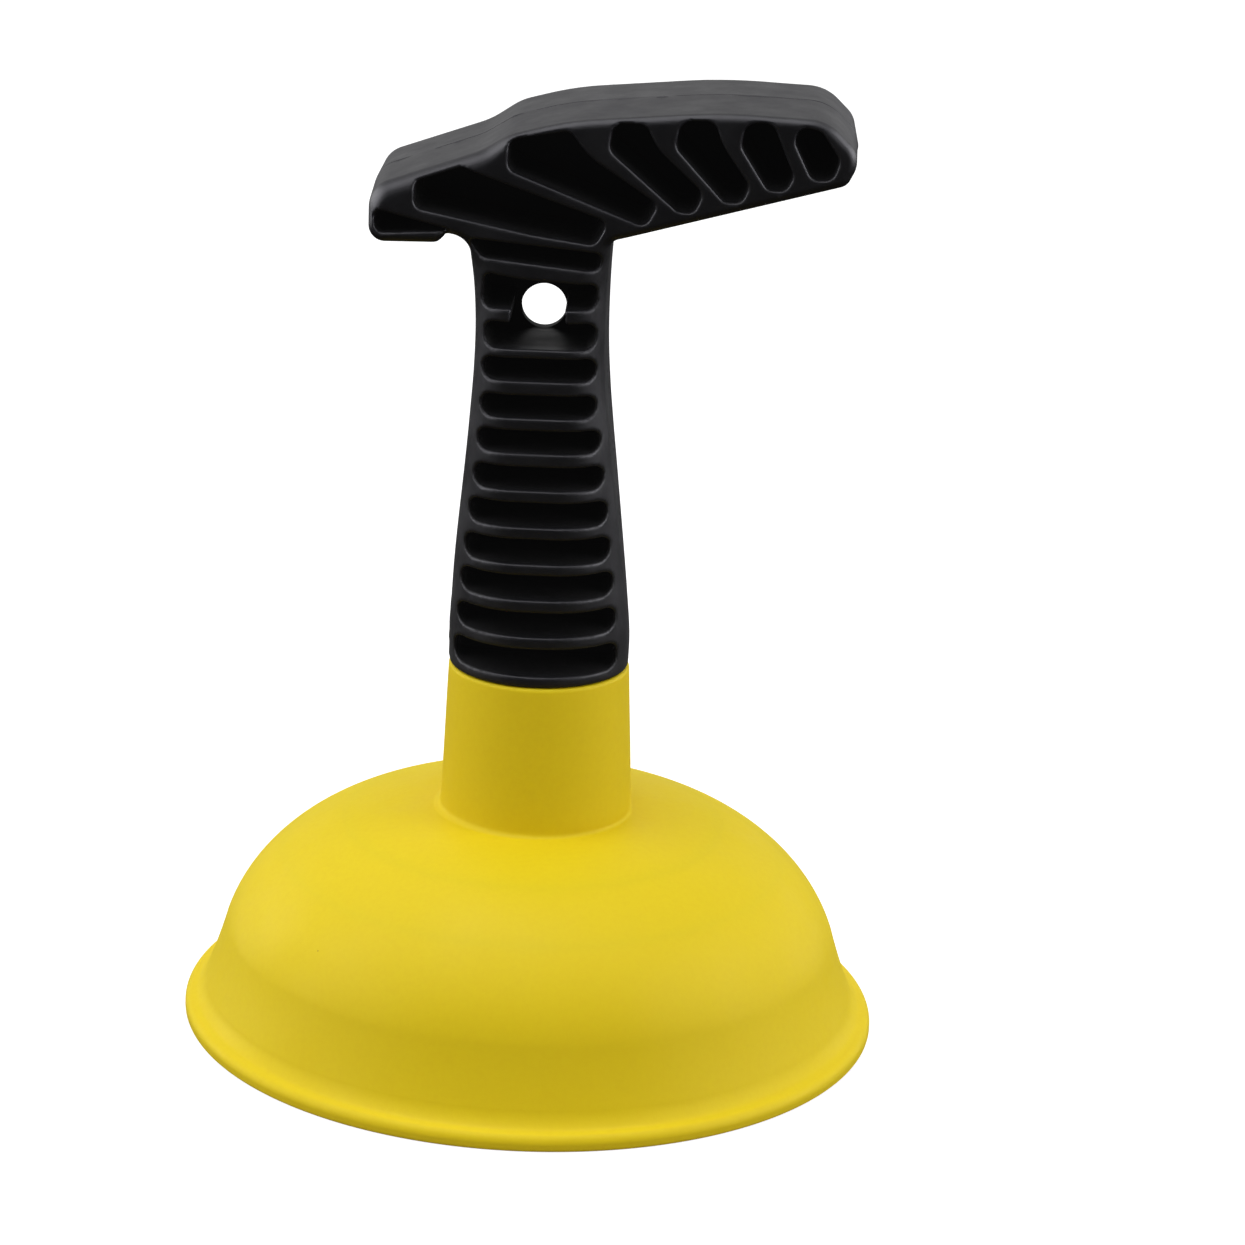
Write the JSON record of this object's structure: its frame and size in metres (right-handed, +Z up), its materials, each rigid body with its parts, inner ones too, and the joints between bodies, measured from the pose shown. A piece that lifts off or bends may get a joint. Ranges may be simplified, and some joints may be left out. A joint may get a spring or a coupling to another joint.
{
  "type": "sink plunger",
  "caption": "Small sink plunger: a domed yellow rubber cup with a flared lip and a tall collar, pushed onto a black ribbed plastic T-handle with a hanging hole.",
  "frame": {"origin": "centre of the plane that the cup's lip stands on", "axes": "+Z up the handle, +X towards the long lobe of the T-head, the pocketed faces look along -Y and +Y"},
  "size_m": [0.135, 0.135, 0.1845],
  "materials": {
    "yellow_rubber": "matte moulded rubber, fine grain",
    "black_plastic": "semi-matte moulded plastic, slightly bluish black"
  },
  "bodies": {
    "lip": {"cup_lip": "yellow_rubber"},
    "bell": {"cup_wall": "yellow_rubber"},
    "crown": {"cup_crown": "yellow_rubber"},
    "grip": {"cup_collar": "yellow_rubber", "handle": "black_plastic"}
  },
  "joints": [
    {"name": "plunge", "type": "slide", "parent": "lip", "child": "bell", "axis": [0, 0, 1], "range_m": [-0.018, 0.004], "stiffness_N_per_m": 1200, "deforming": ["cup_wall"]},
    {"name": "rock_side", "type": "hinge", "parent": "bell", "child": "crown", "pos_m": [0, 0, 0.04], "axis": [0, 1, 0], "range_deg": [-8, 8], "stiffness_Nm_per_rad": 6, "deforming": ["cup_crown"]},
    {"name": "rock_front", "type": "hinge", "parent": "crown", "child": "grip", "pos_m": [0, 0, 0.042], "axis": [1, 0, 0], "range_deg": [-8, 8], "stiffness_Nm_per_rad": 6, "deforming": ["cup_crown"]}
  ]
}
